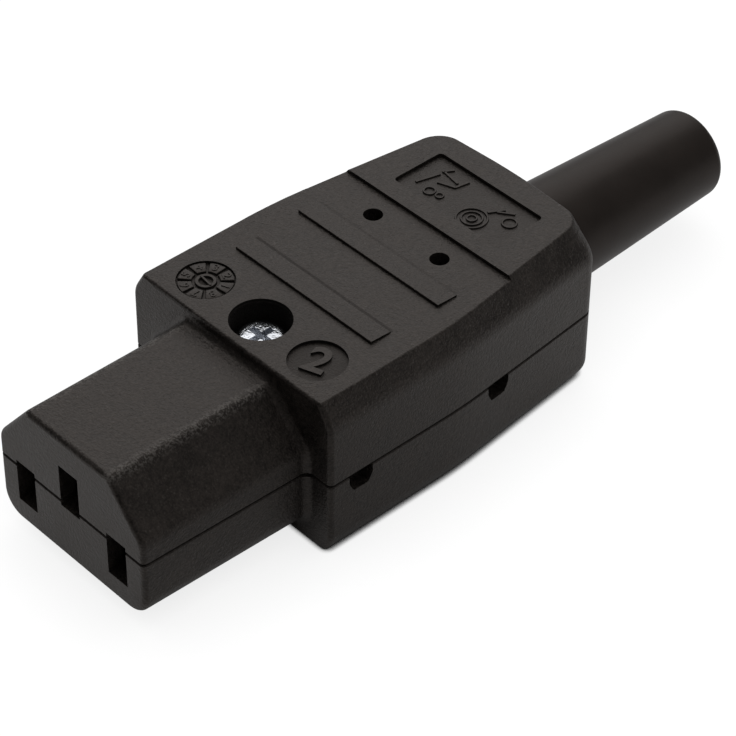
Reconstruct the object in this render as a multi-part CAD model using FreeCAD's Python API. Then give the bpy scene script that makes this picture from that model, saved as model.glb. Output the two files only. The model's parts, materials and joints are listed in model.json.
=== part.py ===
"""Rewireable 10 A appliance coupler connector, size C13, with screw terminals.

Frame, in millimetres: the origin is the centre of the mating face, on the plane where the two
shells meet. The nose points to -Y, the cord leaves to +Y, +Z is up through the cover screw.
"""
import FreeCAD, Part
import math
import os

V = FreeCAD.Vector

# Small values that every piece shares
overlap = 0.1               # how far one shape runs into the next before they are joined
past = 1.0                  # how far a cut runs beyond the surface that it opens
tolerance = 1e-3            # for telling edges apart by their place

# Pin layout of the mating inlet
pin_spacing = 14.0          # line to neutral, centre to centre
line_z = -2.0               # centre height of the line and neutral pins
earth_z = 2.0               # centre height of the earth pin
slot_width = 2.9
slot_height = 5.2

# Nose, the part that enters the inlet
nose_length = 20.4
nose_half_front = 11.1      # half width at the mating face
nose_half_rear = 11.65      # half width where it meets the body
nose_top = 8.3
nose_bottom = -7.4
nose_top_half = 6.3         # half width of the flat top
nose_shoulder_z = 2.6       # where the sloped shoulders meet the upright sides
nose_corner_radius = 2.7    # lower long edges
nose_top_radius = 0.9       # between the top and the shoulders
nose_side_radius = 2.0      # between the shoulders and the sides
nose_edge_radius = 0.6      # edge of the mating face
nose_root_radius = 0.9      # hollow where the nose meets the body
nose_wall = 1.8             # wall behind the mating face
chamber_play = 0.3          # on each side of a contact in its chamber

# Body. A length that ends in _back is measured from where the nose meets the body.
body_length = 39.1          # from the nose to the rear corners
body_crown = 0.6            # rise of the rear face at its middle
body_half_width = 14.95
body_half_rear = 13.05      # half width at the rear corners
side_taper_back = 18.1      # where the sides start to close in
body_top = 9.9
body_bottom = -9.15
bevel_height = 2.6          # bevel along the top edges
bevel_width = 1.55
bevel_width_rear = 2.35
lower_bevel_height = 1.7    # bevel along the bottom edges
lower_bevel_width = 1.0
lower_bevel_width_rear = 1.35
bevel_blend = 0.8           # half the height over which a bevel turns into the side
front_corner_radius = 0.6
rear_corner_radius = 2.0
top_rear_corner_radius = 3.0
taper_blend_radius = 60.0
crown_blend_radius = 80.0
bottom_edge_radius = 0.35
top_edge_radius = 0.35
wall = 2.2
roof = 1.8
floor = 1.8

# Relief on the cover
rear_step_back = 26.95      # the top is one step higher behind this line
step_height = 0.4
grip_ridges = ((9.75, 10.1), (18.5, 10.4))      # distance back and half width of each grip ridge
ridge_length = 2.65
ridge_height = 0.3
ridge_height_rear = 0.15
ridge_edge_radius = 0.08
mark_x = 8.38
mark_radius = 3.06
mark_depth = 0.35
label_half_width = 7.6
label_back = 29.3
label_length = 6.9
label_depth = 0.4
label_corner_radius = 0.5
vent_radius = 1.05

# Joint between the shells
parting_gap = 0.22          # height of the groove along the joint
parting_depth = 0.2
parting_slope = 0.22        # height of the slope that leads the lower shell's edge into the groove
notches_back = (4.1, 23.5)
notch_top_width = 3.1
notch_bottom_width = 2.0
notch_height = 2.1
notch_depth = 1.5
notch_corner_radius = 0.35
peg_places = ((11.1, 4.3), (9.6, 30.0))         # distance out and distance back of each pair
peg_radius = 0.9
peg_height = 1.8
peg_boss_wall = 1.0
peg_clearance = 0.05
peg_end_clearance = 0.2

# Screws in general
thread_radius = 1.45        # M3 thread, drawn plain
thread_clearance = 0.05
screw_hole_clearance = 0.2
screw_point = 0.4
recess_half_length = 1.5    # cross recess in the heads of the cover and clamp screws
recess_half_width = 0.38
recess_depth = 1.1

# Cover screw and its nut
screw_back = 4.26
counterbore_depth = 4.25
counterbore_clearance = 0.41
counterbore_wall = 0.9
seat_thickness = 1.2
neck_wall = 0.95            # screw tube under the seat, which also centres the earth contact
neck_clearance = 0.15
cover_head_radius = 2.85
cover_head_height = 2.2
cover_head_edge = 0.9
nut_flats = 5.5
nut_height = 2.4
nut_chamfer = 0.4
nut_chamfer_angle = 30.0
nut_pocket_clearance = 0.1
nut_cover = 0.45            # depth of the nut under the underside
lower_boss_wall = 1.0       # around the pocket of the nut

# Contacts, folded from strip
strip = 0.6
leaf = 0.5
contact_gap = 1.2           # from the wall of the mating face to the mouth of a contact
contact_base_set_in = 1.0
contact_rear_set_in = 2.4   # from the end of a socket to where the body starts
contact_play = 0.2          # height of a contact under the height of its chamber
leaf_half_rear = 1.9
leaf_grip_half = 0.9        # half gap at the gripping line, a little under half a pin
leaf_grip_in = 3.0
leaf_root_in = 8.0
leaf_mouth_half = 1.5
leaf_slit = 0.3

# Terminals
pad_width = 5.8
pad_length = 6.8
pad_offset = 1.0            # the live pads stand this much further out than their pins
live_terminal_back = 9.8
earth_terminal_back = 12.2
earth_strip_side = 0.95     # width of the earth strip on each side of the screw tube
earth_ring_margin = 0.85
gallery_clearance = 0.3     # around the earth strip where it leaves its chamber
gallery_top_clearance = 0.5
gallery_set_in = 1.8        # where that room starts, before the body
square_nut_side = 5.4
pedestal_hole_clearance = 0.35
pedestal_floor = 0.4        # left under the room for the screw's end
plate_thickness = 0.8
plate_lip = 0.6
plate_lip_height = 0.9
plate_head_clearance = 0.2
plate_set_in = 0.7
terminal_head_radius = 2.3
terminal_head_height = 1.7
terminal_head_edge = 0.25
terminal_screw_end = 2.2    # length of the screw past its nut
screw_slot_width = 0.8
screw_slot_depth = 0.8
rib_thickness = 0.7

# Cord clamp
clamp_back = 23.96
clamp_screw_x = 4.95
clamp_end_margin = 0.05
clamp_half_width = 2.35
clamp_seat_z = -2.6
clamp_bar_height = 3.0
clamp_bar_radius = 0.8
clamp_ridge = 0.7
clamp_ridge_half_width = 0.95
clamp_ridge_clearance = 0.45
clamp_channel_radius = 3.0
clamp_channel_z = -2.8
clamp_head_radius = 2.6
clamp_head_height = 1.9
clamp_head_edge = 0.7
clamp_screw_floor = 1.3     # left under the holes of the clamp screws
clamp_screw_clearance = 0.2

# Bend sleeve
cord_axis_z = -1.05
sleeve_bore_radius = 3.8
sleeve_root_wall = 2.6
sleeve_end_wall = 1.4
sleeve_length = 28.85       # behind the rear corners of the body
sleeve_edge_radius = 1.0
sleeve_edge_share = 0.8     # the most of the end wall that its rounding takes
sleeve_bore_edge = 0.1
sleeve_clearance = 0.1
flange_thickness = 2.4
flange_corner_radius = 2.5
flange_side_clearance = 0.65
flange_floor_clearance = 0.2
rear_wall = 2.1
retainer_thickness = 1.4
retainer_opening_clearance = 0.6

# Places along Y that follow
body_front = nose_length
body_rear = body_front + body_length
side_taper_y = body_front + side_taper_back
rear_step_y = body_front + rear_step_back
label_front = body_front + label_back
screw_y = body_front + screw_back
live_terminal_y = body_front + live_terminal_back
earth_terminal_y = body_front + earth_terminal_back
clamp_y = body_front + clamp_back
contact_front = nose_wall + contact_gap
contact_rear = body_front - contact_rear_set_in
cavity_front = body_front + wall
cavity_rear = body_rear - rear_wall
flange_front = cavity_rear - flange_thickness
sleeve_end_y = body_rear + sleeve_length

# Heights that follow
cavity_top = body_top - roof
cavity_bottom = body_bottom + floor
bevel_z = body_top - bevel_height
lower_bevel_z = body_bottom + lower_bevel_height
rear_top = body_top + step_height
slot_half = slot_height / 2
contact_height = slot_height - contact_play
live_base_bottom = line_z - slot_half + contact_height - strip
earth_base_bottom = earth_z - slot_half
screw_seat_z = body_top - counterbore_depth
nut_top_z = body_bottom + nut_cover + nut_height
clamp_bar_top = clamp_seat_z + clamp_bar_height
clamp_screw_end_z = body_bottom + clamp_screw_floor + clamp_screw_clearance

# Widths and radii that follow
line_x = pin_spacing / 2
live_pad_x = line_x + pad_offset
top_half_width = body_half_width - bevel_width
top_half_rear = body_half_rear - bevel_width_rear
chamber_width = 2 * (leaf_half_rear + chamber_play)
peg_boss_radius = peg_radius + peg_boss_wall
thread_hole_radius = thread_radius + thread_clearance
clearance_hole_radius = thread_radius + screw_hole_clearance
pedestal_hole_radius = thread_radius + pedestal_hole_clearance
counterbore_radius = cover_head_radius + counterbore_clearance
neck_radius = clearance_hole_radius + neck_wall
earth_strip_half = neck_radius + neck_clearance + earth_strip_side
rib_centre_x = (earth_strip_half + live_pad_x - pad_width / 2) / 2
clamp_half_length = clamp_screw_x + clamp_head_radius + clamp_end_margin
sleeve_root_radius = sleeve_bore_radius + sleeve_root_wall
sleeve_end_radius = sleeve_bore_radius + sleeve_end_wall
retainer_opening_radius = sleeve_bore_radius + retainer_opening_clearance
flange_half_width = body_half_rear - wall - flange_side_clearance
flange_half_height = cord_axis_z - cavity_bottom - flange_floor_clearance
reach = 4 * body_half_width     # a length that is past the part on every side


def box(x0, x1, y0, y1, z0, z1):
    """A block between two corners."""
    return Part.makeBox(x1 - x0, y1 - y0, z1 - z0, V(x0, y0, z0))


def upright(radius, x, y, z0, z1):
    """A cylinder along Z."""
    return Part.makeCylinder(radius, z1 - z0, V(x, y, z0), V(0, 0, 1))


def along_y(radius, x, z, y0, y1):
    """A cylinder along Y."""
    return Part.makeCylinder(radius, y1 - y0, V(x, y0, z), V(0, 1, 0))


def rounded_wire(corners, place):
    """A closed wire through corners (u, v, radius), each one rounded by its own radius."""
    stretches = []
    for index, (u, v, radius) in enumerate(corners):
        here = V(u, v, 0)
        before = V(corners[index - 1][0], corners[index - 1][1], 0)
        after = V(corners[(index + 1) % len(corners)][0], corners[(index + 1) % len(corners)][1], 0)
        if radius == 0:
            stretches.append((here, None, here))
            continue
        back = (before - here).normalize()
        ahead = (after - here).normalize()
        half = back.getAngle(ahead) / 2
        inward = (back + ahead).normalize()
        tangent = radius / math.tan(half)
        middle = here + inward * (radius / math.sin(half) - radius)
        stretches.append((here + back * tangent, middle, here + ahead * tangent))
    edges = []
    for index, (start, middle, end) in enumerate(stretches):
        if middle is not None:
            edges.append(Part.Arc(place(start), place(middle), place(end)).toShape())
        following = stretches[(index + 1) % len(stretches)][0]
        if end.distanceToPoint(following) > tolerance:
            edges.append(Part.LineSegment(place(end), place(following)).toShape())
    return Part.Wire(edges)


def prism(corners, place, direction):
    """A rounded outline pushed along a direction."""
    return Part.Face(rounded_wire(corners, place)).extrude(direction)


def level(z):
    """Places an outline (x, y) on a level plane."""
    return lambda point: V(point.x, point.y, z)


def across(x):
    """Places an outline (y, z) on a plane square to X."""
    return lambda point: V(x, point.x, point.y)


def facing(y):
    """Places an outline (x, z) on a plane square to Y."""
    return lambda point: V(point.x, y, point.y)


def plan_outline(z, half_width, half_rear, inset, corner):
    """The body's plan outline at one height, moved in by inset on all sides."""
    front = body_front + inset
    rear = body_rear - inset
    wide = half_width - inset
    narrow = half_rear - inset
    right = [
        (wide, front, front_corner_radius),
        (wide, side_taper_y, taper_blend_radius),
        (narrow, rear, corner),
    ]
    left = [(-x, y, radius) for x, y, radius in reversed(right)]
    middle = [(0, rear + body_crown, crown_blend_radius)]
    return rounded_wire(right + middle + left, level(z))


def cavity_outline(z, half_width, half_rear):
    """The plan outline of the room inside the body."""
    narrow = half_rear - wall
    right = [
        (half_width - wall, cavity_front, front_corner_radius),
        (half_width - wall, side_taper_y, taper_blend_radius),
        (narrow, cavity_rear, front_corner_radius),
    ]
    left = [(-x, y, radius) for x, y, radius in reversed(right)]
    return rounded_wire(right + left, level(z))


def nose_outline(y, half_width):
    """The nose's section: flat top, sloped shoulders, rounded corners."""
    corners = [
        (nose_top_half, nose_top, nose_top_radius),
        (half_width, nose_shoulder_z, nose_side_radius),
        (half_width, nose_bottom, nose_corner_radius),
        (-half_width, nose_bottom, nose_corner_radius),
        (-half_width, nose_shoulder_z, nose_side_radius),
        (-nose_top_half, nose_top, nose_top_radius),
    ]
    return rounded_wire(corners, facing(y))


def nose_solid():
    """The nose as one block, with the edge of its face rounded."""
    sections = [nose_outline(0, nose_half_front), nose_outline(body_front + wall, nose_half_rear)]
    block = Part.makeLoft(sections, True, True)
    rim = [edge for edge in block.Edges if edge.BoundBox.YMax < tolerance]
    return block.makeFillet(nose_edge_radius, rim)


def with_nose(body, part_of_nose):
    """A half of the body with its half of the nose, and the hollow corner between them rounded."""
    joined = body.fuse(part_of_nose)
    root = []
    for edge in joined.Edges:
        place = edge.BoundBox
        on_front = place.YMin > body_front - tolerance and place.YMax < body_front + tolerance
        on_nose = max(-place.XMin, place.XMax) < nose_half_rear + tolerance
        on_nose = on_nose and place.ZMin > nose_bottom - tolerance and place.ZMax < nose_top + tolerance
        on_joint = max(abs(place.ZMin), abs(place.ZMax)) < tolerance
        if on_front and on_nose and not on_joint:
            root.append(edge)
    return joined.makeFillet(nose_root_radius, root)


def edges_at_height(shape, z):
    """The edges that lie in one level plane."""
    level_edges = [edge for edge in shape.Edges if edge.BoundBox.ZLength < tolerance]
    return [edge for edge in level_edges if abs(edge.BoundBox.ZMin - z) < tolerance]


def bevel_share(along, height):
    """How far a bevel has come in at a distance along its height: 0 before it, 1 at its end."""
    if along > bevel_blend:
        return along / height
    return max(0.0, along + bevel_blend) ** 2 / (4 * bevel_blend * height)


def upper_outline(z):
    """The body's plan outline at a height above the joint."""
    share = bevel_share(z - bevel_z, bevel_height)
    corner = rear_corner_radius + share * (top_rear_corner_radius - rear_corner_radius)
    return plan_outline(z, body_half_width - share * bevel_width,
                        body_half_rear - share * bevel_width_rear, 0, corner)


def lower_outline(z):
    """The body's plan outline at a height below the joint."""
    share = bevel_share(lower_bevel_z - z, lower_bevel_height)
    return plan_outline(z, body_half_width - share * lower_bevel_width,
                        body_half_rear - share * lower_bevel_width_rear, 0, rear_corner_radius)


def blend_heights(z):
    """The heights of the sections that turn a side into the bevel that starts at a height."""
    return [z + share * bevel_blend for share in (-1, -0.5, 0, 0.5, 1)]


def body_upper_block():
    """The upper half of the body, with the bevel along its top edges and the rear step."""
    heights = [0] + blend_heights(bevel_z) + [body_top]
    sections = [upper_outline(z) for z in heights]
    low = Part.makeLoft(sections, True, True)
    high = Part.makeLoft(sections + [upper_outline(rear_top)], True, True)
    low = low.makeFillet(top_edge_radius, edges_at_height(low, body_top))
    high = high.makeFillet(top_edge_radius, edges_at_height(high, rear_top))
    behind_step = box(-reach, reach, rear_step_y, 2 * reach, -reach, reach)
    return low.cut(behind_step).fuse(high.common(behind_step))


def body_lower_block():
    """The lower half of the body, with the bevel along its bottom edges."""
    heights = [body_bottom] + blend_heights(lower_bevel_z) + [0]
    block = Part.makeLoft([lower_outline(z) for z in heights], True, True)
    return block.makeFillet(bottom_edge_radius, edges_at_height(block, body_bottom))


def grip_ridge(back, half_width):
    """A low flat ridge, a little higher at its front, for the fingers to pull on."""
    front = body_front + back
    corners = [
        (front, body_top - roof / 2, 0),
        (front, body_top + ridge_height, ridge_edge_radius),
        (front + ridge_length, body_top + ridge_height_rear, ridge_edge_radius),
        (front + ridge_length, body_top - roof / 2, 0),
    ]
    return prism(corners, across(-half_width), V(2 * half_width, 0, 0))


def pin_chambers(bottom, top):
    """The rooms for the three contacts and their slots in the mating face, between two heights."""
    tools = []
    for x, z in ((line_x, line_z), (-line_x, line_z), (0, earth_z)):
        low = max(bottom, z - slot_half)
        high = min(top, z + slot_half)
        half_slot = slot_width / 2
        half_room = chamber_width / 2
        tools.append(box(x - half_slot, x + half_slot, -past, nose_wall + overlap, low, high))
        tools.append(box(x - half_room, x + half_room, nose_wall, cavity_front + overlap, low, high))
    gallery_half = earth_strip_half + gallery_clearance
    gallery_front = body_front - gallery_set_in
    low = max(bottom, earth_z - slot_half)
    high = min(top, screw_seat_z - seat_thickness - gallery_top_clearance)
    tools.append(box(-gallery_half, gallery_half, gallery_front, cavity_front + overlap, low, high))
    return tools


def parting_groove():
    """The fine groove that runs round the part where the shells meet, with a sloped lower lip."""
    half = parting_gap / 2
    lip = -half - parting_slope
    depths = ((lip, -overlap), (-half, parting_depth), (half, parting_depth))
    body_sections = []
    nose_sections = []
    for z, depth in depths:
        body_sections.append(plan_outline(z, body_half_width, body_half_rear, depth, rear_corner_radius))
        front = nose_half_front - depth
        rear = nose_half_rear - depth
        corners = [
            (-front, depth, nose_edge_radius),
            (front, depth, nose_edge_radius),
            (rear, body_front + wall, 0),
            (-rear, body_front + wall, 0),
        ]
        nose_sections.append(rounded_wire(corners, level(z)))
    body = Part.makeLoft(body_sections, True, True)
    nose = Part.makeLoft(nose_sections, True, True)
    ring = box(-reach, reach, -reach, 2 * reach, lip, half)
    return ring.cut(body.fuse(nose))


def sleeve_passage():
    """The hole in the rear wall, which also lets the root of the sleeve into the floor."""
    radius = sleeve_root_radius + sleeve_clearance
    return along_y(radius, 0, cord_axis_z, flange_front - sleeve_clearance, sleeve_end_y)


def retainer(z0, z1, half_width):
    """The cross wall that holds the sleeve's flange against the rear wall."""
    y1 = flange_front - sleeve_clearance
    y0 = y1 - retainer_thickness
    plate = box(-half_width, half_width, y0, y1, z0, z1)
    return plate.cut(along_y(retainer_opening_radius, 0, cord_axis_z, y0 - past, y1 + past))


def half_width_at(y):
    """Half width of the body at the parting plane."""
    share = (y - side_taper_y) / (body_rear - side_taper_y)
    return body_half_width - max(0.0, share) * (body_half_width - body_half_rear)


def peg_points():
    """The places of the locating pegs on both sides."""
    return [(side * out, body_front + back) for out, back in peg_places for side in (-1, 1)]


def upper_shell():
    """The cover: upper half of the nose and body, with the relief and the screw tube."""
    above = box(-reach, reach, -reach, 2 * reach, 0, reach)
    shell = with_nose(body_upper_block(), nose_solid().common(above))
    ridges = [grip_ridge(back, half_width) for back, half_width in grip_ridges]
    shell = shell.fuse(ridges)
    cavity = Part.makeLoft([
        cavity_outline(0, body_half_width, body_half_rear),
        cavity_outline(bevel_z - roof, body_half_width, body_half_rear),
        cavity_outline(cavity_top, top_half_width, top_half_rear),
    ], True, True)
    shell = shell.cut([cavity] + pin_chambers(0, reach))
    tube = upright(counterbore_radius + counterbore_wall, 0, screw_y,
                   screw_seat_z - seat_thickness, body_top - roof / 2)
    neck = upright(neck_radius, 0, screw_y, earth_base_bottom, screw_seat_z)
    bosses = [upright(peg_boss_radius, x, y, 0, cavity_top + roof / 2) for x, y in peg_points()]
    cross = retainer(0, cavity_top + overlap, half_width_at(cavity_rear) - wall / 2)
    shell = shell.fuse([tube, neck] + bosses + [cross.common(cavity)])
    holes = [
        upright(counterbore_radius, 0, screw_y, screw_seat_z, reach),
        upright(clearance_hole_radius, 0, screw_y, -reach, reach),
        sleeve_passage(),
        parting_groove(),
    ]
    for x, y in peg_points():
        holes.append(upright(peg_radius + peg_clearance, x, y, -past, peg_height + peg_end_clearance))
    for side in (-1, 1):
        holes.append(upright(vent_radius, side * clamp_screw_x, clamp_y, cavity_top - past, reach))
        holes.append(upright(mark_radius, side * mark_x, screw_y, body_top - mark_depth, reach))
    label_rear = label_front + label_length
    label = [
        (-label_half_width, label_front, label_corner_radius),
        (label_half_width, label_front, label_corner_radius),
        (label_half_width, label_rear, label_corner_radius),
        (-label_half_width, label_rear, label_corner_radius),
    ]
    holes.append(prism(label, level(rear_top - label_depth), V(0, 0, reach)))
    return shell.cut(holes).removeSplitter()


def notch(y, side):
    """A small pocket in the side of the lower shell, just under the joint."""
    top = notch_top_width / 2
    low = notch_bottom_width / 2
    corners = [
        (y - top, notch_height / 4, 0),
        (y - top, -notch_height / 2, notch_corner_radius),
        (y - low, -notch_height, notch_corner_radius),
        (y + low, -notch_height, notch_corner_radius),
        (y + top, -notch_height / 2, notch_corner_radius),
        (y + top, notch_height / 4, 0),
    ]
    inner = half_width_at(y) - notch_depth
    return prism(corners, across(side * inner), V(side * reach, 0, 0))


def pedestal(x, y, top):
    """A post under a terminal, with the pocket for its square nut and room for the screw's end."""
    half_x = pad_width / 2
    half_y = pad_length / 2
    post = box(x - half_x, x + half_x, y - half_y, y + half_y, cavity_bottom - overlap, top)
    half = (square_nut_side + nut_pocket_clearance) / 2
    pocket = box(x - half, x + half, y - half, y + half, top - nut_height, top + past)
    hole = upright(pedestal_hole_radius, x, y, cavity_bottom + pedestal_floor, top)
    return post, [pocket, hole]


def clamp_seat():
    """The block under the cord clamp, with the cord's channel and the two screw holes."""
    seat = box(-clamp_half_length, clamp_half_length, clamp_y - clamp_half_width,
               clamp_y + clamp_half_width, cavity_bottom - overlap, clamp_seat_z)
    y0 = clamp_y - clamp_half_width - past
    y1 = clamp_y + clamp_half_width + past
    tools = [along_y(clamp_channel_radius, 0, clamp_channel_z, y0, y1)]
    for side in (-1, 1):
        tools.append(upright(thread_hole_radius, side * clamp_screw_x, clamp_y,
                             clamp_screw_end_z - clamp_screw_clearance, clamp_seat_z + past))
    return seat, tools


def lower_shell():
    """The base: lower half of the nose and body, which carries the contacts and the cord clamp."""
    below = box(-reach, reach, -reach, 2 * reach, -reach, 0)
    shell = with_nose(body_lower_block(), nose_solid().common(below))
    opening = Part.Face(cavity_outline(0, body_half_width, body_half_rear))
    cavity = opening.extrude(V(0, 0, cavity_bottom))
    shell = shell.cut([cavity] + pin_chambers(-reach, 0))
    pocket_flats = nut_flats + nut_pocket_clearance
    boss_radius = pocket_flats / math.sqrt(3) + lower_boss_wall
    added = [upright(boss_radius, 0, screw_y, body_bottom + floor / 2, earth_base_bottom)]
    holes = []
    for side in (-1, 1):
        post, tools = pedestal(side * live_pad_x, live_terminal_y, live_base_bottom)
        added.append(post)
        holes += tools
        x0 = side * rib_centre_x - rib_thickness / 2
        added.append(box(x0, x0 + rib_thickness, cavity_front - overlap,
                         earth_terminal_y + pad_length / 2, cavity_bottom - overlap, 0))
    post, tools = pedestal(0, earth_terminal_y, earth_base_bottom)
    added.append(post)
    holes += tools
    seat, tools = clamp_seat()
    added.append(seat)
    holes += tools
    for x, y in peg_points():
        added.append(upright(peg_boss_radius, x, y, cavity_bottom - overlap, 0))
        added.append(upright(peg_radius, x, y, -overlap, peg_height))
    added.append(retainer(cavity_bottom - overlap, 0, body_half_rear - wall / 2))
    shell = shell.fuse(added)
    holes.append(hexagon(pocket_flats, 0, screw_y, body_bottom - past, nut_top_z))
    holes.append(upright(clearance_hole_radius, 0, screw_y, -reach, reach))
    holes.append(sleeve_passage())
    holes.append(parting_groove())
    for back in notches_back:
        for side in (-1, 1):
            holes.append(notch(body_front + back, side))
    return shell.cut(holes).removeSplitter()


def hexagon(flats, x, y, z0, z1):
    """A hexagonal prism along Z, given its size across flats."""
    radius = flats / math.sqrt(3)
    corners = []
    for index in range(6):
        angle = math.radians(60 * index)
        corners.append((x + radius * math.cos(angle), y + radius * math.sin(angle), 0))
    return prism(corners, level(z0), V(0, 0, z1 - z0))


def threaded(shape, x, y):
    """The shape with the hole of an M3 thread along Z."""
    return shape.cut(upright(thread_hole_radius, x, y, -reach, reach))


def cover_nut():
    """The hexagon nut in the pocket of the underside."""
    bottom = V(0, screw_y, nut_top_z - nut_height)
    body = hexagon(nut_flats, 0, screw_y, bottom.z, nut_top_z)
    small = nut_flats / math.sqrt(3) - nut_chamfer
    large = small + nut_height / math.tan(math.radians(nut_chamfer_angle))
    cap = Part.makeCone(large, small, nut_height, bottom, V(0, 0, 1))
    base = Part.makeCone(small, large, nut_height, bottom, V(0, 0, 1))
    return threaded(body.common(cap).common(base), 0, screw_y)


def shank(x, y, z_top, z_end):
    """A screw's shank with a short point."""
    rod = upright(thread_radius, x, y, z_end + screw_point, z_top)
    tip = Part.makeCone(thread_radius - screw_point, thread_radius, screw_point,
                        V(x, y, z_end), V(0, 0, 1))
    return rod.fuse(tip)


def cross_recess(x, y, z_top):
    """The cross-shaped recess of a screw head."""
    long = recess_half_length
    short = recess_half_width
    arm_x = box(x - long, x + long, y - short, y + short, z_top - recess_depth, z_top + past)
    arm_y = box(x - short, x + short, y - long, y + long, z_top - recess_depth, z_top + past)
    return arm_x.fuse(arm_y)


def pan_head_screw(x, y, seat, head_radius, head_height, head_edge, z_end):
    """A screw with a rounded head and a cross recess, seated on a level face."""
    top = seat + head_height
    head = upright(head_radius, x, y, seat, top)
    head = head.makeFillet(head_edge, edges_at_height(head, top))
    screw = head.fuse(shank(x, y, seat, z_end))
    return screw.cut(cross_recess(x, y, top)).removeSplitter()


def cover_screw():
    """The M3 screw that holds the shells together."""
    return pan_head_screw(0, screw_y, screw_seat_z, cover_head_radius, cover_head_height,
                          cover_head_edge, nut_top_z - nut_height)


def contact_leaf(side):
    """One spring side of a contact: it bows in to grip the pin and flares out at its mouth."""
    root_y = contact_front + leaf_root_in
    inner = [
        (leaf_half_rear - leaf, contact_rear),
        (leaf_half_rear - leaf, root_y),
        (leaf_grip_half, contact_front + leaf_grip_in),
        (leaf_mouth_half, contact_front),
    ]
    outer = [(x + leaf, y) for x, y in reversed(inner)]
    corners = [(side * x, y, 0) for x, y in inner + outer]
    blade = prism(corners, level(strip), V(0, 0, contact_height - strip))
    middle = (strip + contact_height) / 2
    y0 = contact_front - past
    slits = [
        box(-reach, reach, y0, root_y, strip, strip + leaf_slit),
        box(-reach, reach, y0, root_y, middle - leaf_slit / 2, middle + leaf_slit / 2),
    ]
    return blade.cut(slits)


def contact_socket():
    """The gripping end of a contact, on the plane z = 0, centred on x = 0."""
    base = box(-leaf_half_rear, leaf_half_rear, contact_front + contact_base_set_in,
               contact_rear, 0, strip)
    return base.fuse([contact_leaf(-1), contact_leaf(1)])


def screw_eye(x, y):
    """The clearance hole for a terminal screw in a strip."""
    return upright(clearance_hole_radius, x, y, -reach, reach)


def live_contact(side):
    """A line or neutral contact: the socket hangs under its strip, which ends in a screw pad."""
    pad_start = live_terminal_y - pad_length / 2
    neck = box(-leaf_half_rear, leaf_half_rear, contact_rear - overlap, pad_start + overlap, 0, strip)
    x0 = pad_offset - pad_width / 2
    pad = box(x0, x0 + pad_width, pad_start, pad_start + pad_length, 0, strip)
    body = contact_socket().fuse([neck, pad])
    body = body.cut(screw_eye(pad_offset, live_terminal_y))
    turned = body.mirror(V(0, 0, 0), V(0, 0, 1))
    turned.translate(V(line_x, 0, live_base_bottom + strip))
    if side < 0:
        turned = turned.mirror(V(0, 0, 0), V(1, 0, 0))
    return turned.removeSplitter()


def earth_contact():
    """The earth contact: its strip passes round the screw tube and ends in a screw pad."""
    wide_start = screw_y - neck_radius - earth_ring_margin
    pad_start = earth_terminal_y - pad_length / 2
    neck = box(-leaf_half_rear, leaf_half_rear, contact_rear - overlap, wide_start + overlap, 0, strip)
    ring = box(-earth_strip_half, earth_strip_half, wide_start, pad_start, 0, strip)
    pad = box(-pad_width / 2, pad_width / 2, pad_start - overlap, pad_start + pad_length, 0, strip)
    body = contact_socket().fuse([neck, ring, pad])
    eye = upright(neck_radius + neck_clearance, 0, screw_y, -past, strip + past)
    body = body.cut([eye, screw_eye(0, earth_terminal_y)])
    body.translate(V(0, 0, earth_base_bottom))
    return body.removeSplitter()


def square_nut(x, y, top):
    """The square nut under a terminal."""
    half = square_nut_side / 2
    return threaded(box(x - half, x + half, y - half, y + half, top - nut_height, top), x, y)


def pressure_plate(x, y, bottom):
    """The plate that presses the wire on the contact, with two turned-up sides."""
    half_x = terminal_head_radius + plate_head_clearance + plate_lip
    half_y = pad_length / 2 - plate_set_in
    plate = box(x - half_x, x + half_x, y - half_y, y + half_y, bottom, bottom + plate_thickness)
    top = bottom + plate_thickness + plate_lip_height
    for side in (-1, 1):
        x0 = x + side * (half_x - plate_lip / 2) - plate_lip / 2
        plate = plate.fuse(box(x0, x0 + plate_lip, y - half_y, y + half_y, bottom, top))
    return plate.cut(screw_eye(x, y)).removeSplitter()


def terminal_screw(x, y, seat):
    """The M3 slotted cheese-head screw of a terminal."""
    top = seat + terminal_head_height
    head = upright(terminal_head_radius, x, y, seat, top)
    head = head.makeFillet(terminal_head_edge, edges_at_height(head, top))
    slot = box(x - reach, x + reach, y - screw_slot_width / 2, y + screw_slot_width / 2,
               top - screw_slot_depth, top + past)
    length = plate_thickness + strip + nut_height + terminal_screw_end
    return head.cut(slot).fuse(shank(x, y, seat, seat - length)).removeSplitter()


def cord_clamp_bar():
    """The bar across the cord, closed down on its seat, with a ridge that bites into the sheath."""
    corners = [
        (-clamp_half_length, clamp_seat_z, 0),
        (clamp_half_length, clamp_seat_z, 0),
        (clamp_half_length, clamp_bar_top, clamp_bar_radius),
        (-clamp_half_length, clamp_bar_top, clamp_bar_radius),
    ]
    y0 = clamp_y - clamp_half_width
    bar = prism(corners, facing(y0), V(0, 2 * clamp_half_width, 0))
    half = clamp_channel_radius - clamp_ridge_clearance
    ridge = box(-half, half, clamp_y - clamp_ridge_half_width, clamp_y + clamp_ridge_half_width,
                clamp_seat_z - clamp_ridge, clamp_seat_z + overlap)
    bar = bar.fuse(ridge)
    eyes = [screw_eye(side * clamp_screw_x, clamp_y) for side in (-1, 1)]
    return bar.cut(eyes).removeSplitter()


def clamp_screw(side):
    """A thread-forming screw of the cord clamp."""
    return pan_head_screw(side * clamp_screw_x, clamp_y, clamp_bar_top, clamp_head_radius,
                          clamp_head_height, clamp_head_edge, clamp_screw_end_z)


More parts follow.
